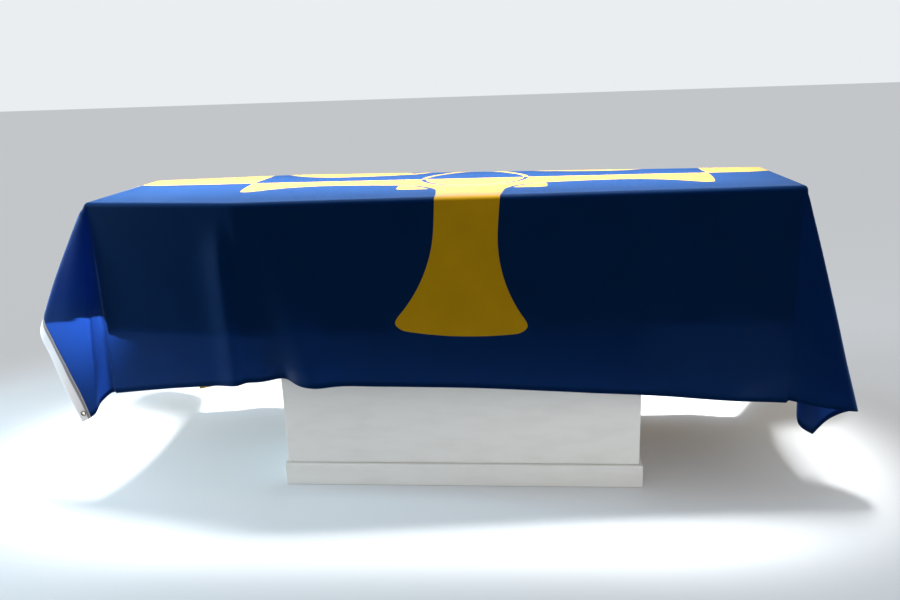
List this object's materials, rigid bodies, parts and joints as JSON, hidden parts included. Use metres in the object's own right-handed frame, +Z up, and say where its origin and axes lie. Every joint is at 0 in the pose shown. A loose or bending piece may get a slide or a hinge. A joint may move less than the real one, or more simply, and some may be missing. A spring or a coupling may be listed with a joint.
{
  "type": "coffin drape with coffin and bier",
  "caption": "A blue and yellow civic flag with a flared cross, spread as a drape over a plain shouldered coffin on a low painted bier, its corners hanging in soft folds.",
  "frame": {"origin": "on the floor, in the middle of the footprint of everything built", "axes": "+X from the head of the coffin to its foot, along the flag; +Y away from the side with the lower hem; +Z up"},
  "size_m": [2.5124, 0.9086, 0.884],
  "materials": {
    "flag_cloth": "light woven polyester, soft sheen, slightly sheer",
    "heading_canvas": "plain woven canvas, matt",
    "eyelet_brass": "rolled brass, slightly dulled",
    "coffin_oak": "satin lacquer",
    "bier_paint": "eggshell paint"
  },
  "bodies": {
    "root": {"drape_cloth": "flag_cloth", "heading": "heading_canvas", "eyelet_near": "eyelet_brass", "eyelet_far": "eyelet_brass", "coffin_lid": "coffin_oak", "coffin_body": "coffin_oak", "bier_top": "bier_paint", "bier_body": "bier_paint", "bier_base": "bier_paint"}
  },
  "joints": []
}
